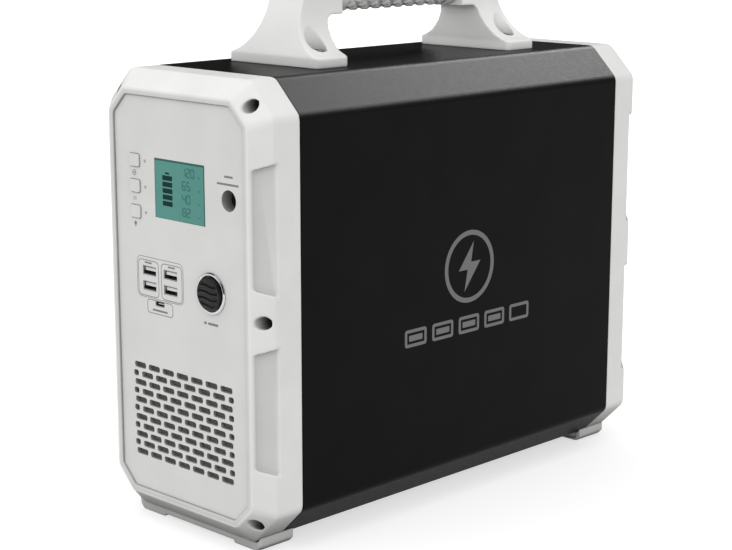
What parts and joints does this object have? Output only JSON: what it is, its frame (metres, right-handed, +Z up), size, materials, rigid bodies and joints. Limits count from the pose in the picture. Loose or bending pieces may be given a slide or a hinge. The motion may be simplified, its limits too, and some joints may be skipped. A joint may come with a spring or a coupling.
{
  "type": "portable power station",
  "caption": "Portable power station: a black aluminium sleeve between light moulded end caps, with a carrying handle, display, buttons, ports, vents, battery, inverter and fans.",
  "frame": {"origin": "middle of the base, on the surface the feet stand on, at the middle of the length and width", "axes": "+Z up; the control panel faces -Y, the outlets face +Y, and +X is to the right as the control panel is looked at"},
  "size_m": [0.158, 0.382, 0.3645],
  "materials": {
    "sleeve": "black anodised, fine satin",
    "case_white": "warm grey-white moulded ABS, fine spark texture",
    "panel_white": "light grey-white moulded ABS with printed grey line marks",
    "foot_grey": "light grey moulded feet",
    "steel": "zinc plated",
    "grip": "light grey soft-touch grip with raised scales",
    "display": "blue-green liquid crystal behind a clear window",
    "lcd_body": "white moulded",
    "board": "green solder mask",
    "black_plastic": "black moulded",
    "led": "milky light pipe",
    "brass": "plain brass",
    "copper": "nickel-free copper strip",
    "chrome": "polished plating",
    "cap_rubber": "black rubber with wavy ribs",
    "filter_mesh": "dark grey woven filter mesh",
    "cell_case": "aluminium cell cans in blue film",
    "insulation": "glass-fibre sheet",
    "heatsink": "mill finish extrusion",
    "lead_insulation": "red silicone insulation"
  },
  "bodies": {
    "casing": {"shell": "sleeve", "front_bezel": "case_white", "rear_bezel": "case_white", "front_panel": "panel_white", "rear_panel": "panel_white", "front_bezel_screws": "steel", "rear_bezel_screws": "steel", "front_feet": "foot_grey", "rear_feet": "foot_grey", "handle_front_foot": "case_white", "handle_rear_foot": "case_white", "handle_bar": "steel", "handle_grip": "grip", "handle_collars": "case_white", "handle_bolts": "steel", "handle_nut_plates": "steel", "display_window": "display", "display_module": "lcd_body", "display_board": "board", "button_switches": "black_plastic", "status_leds": "led", "dc_input_jack": "black_plastic", "usb_a_shells": "steel", "usb_a_tongues": "lcd_body", "usb_c_port": "steel", "usb_board": "board", "socket_housing": "black_plastic", "socket_liner": "steel", "socket_contact": "brass", "socket_ring": "chrome", "socket_nut": "black_plastic", "board_screws": "steel", "intake_fan_frame": "black_plastic", "exhaust_fan_frame": "black_plastic", "intake_filter": "filter_mesh", "exhaust_filter": "filter_mesh", "fan_screws": "steel", "ac_outlets": "black_plastic", "outlet_screws": "steel", "battery_tray": "steel", "battery_cells": "cell_case", "battery_end_plates": "steel", "battery_tie_rods": "steel", "busbars": "copper", "insulator_sheet": "insulation", "bms_board": "board", "deck_plate": "steel", "deck_standoffs": "brass", "inverter_board": "board", "heatsinks": "heatsink", "transformers": "black_plastic", "capacitors": "black_plastic", "battery_leads": "lead_insulation"},
    "ac_button": {"ac_button": "case_white"},
    "dc_button": {"dc_button": "case_white"},
    "light_button": {"light_button": "case_white"},
    "socket_cap": {"socket_cap": "cap_rubber"},
    "intake_fan_rotor": {"intake_fan_rotor": "black_plastic"},
    "exhaust_fan_rotor": {"exhaust_fan_rotor": "black_plastic"}
  },
  "joints": [
    {"name": "ac_button_press", "type": "slide", "parent": "casing", "child": "ac_button", "axis": [0, 1, 0], "range_m": [0, 0.0008], "stiffness_N_per_m": 900},
    {"name": "dc_button_press", "type": "slide", "parent": "casing", "child": "dc_button", "axis": [0, 1, 0], "range_m": [0, 0.0008], "stiffness_N_per_m": 900},
    {"name": "light_button_press", "type": "slide", "parent": "casing", "child": "light_button", "axis": [0, 1, 0], "range_m": [0, 0.0008], "stiffness_N_per_m": 900},
    {"name": "socket_cap_pull", "type": "slide", "parent": "casing", "child": "socket_cap", "axis": [0, -1, 0], "range_m": [0, 0.016]},
    {"name": "intake_fan_spin", "type": "hinge", "parent": "casing", "child": "intake_fan_rotor", "pos_m": [0, -0.176, 0.0762], "axis": [0, -1, 0], "continuous": true},
    {"name": "exhaust_fan_spin", "type": "hinge", "parent": "casing", "child": "exhaust_fan_rotor", "pos_m": [0, 0.178, 0.0762], "axis": [0, 1, 0], "continuous": true}
  ]
}
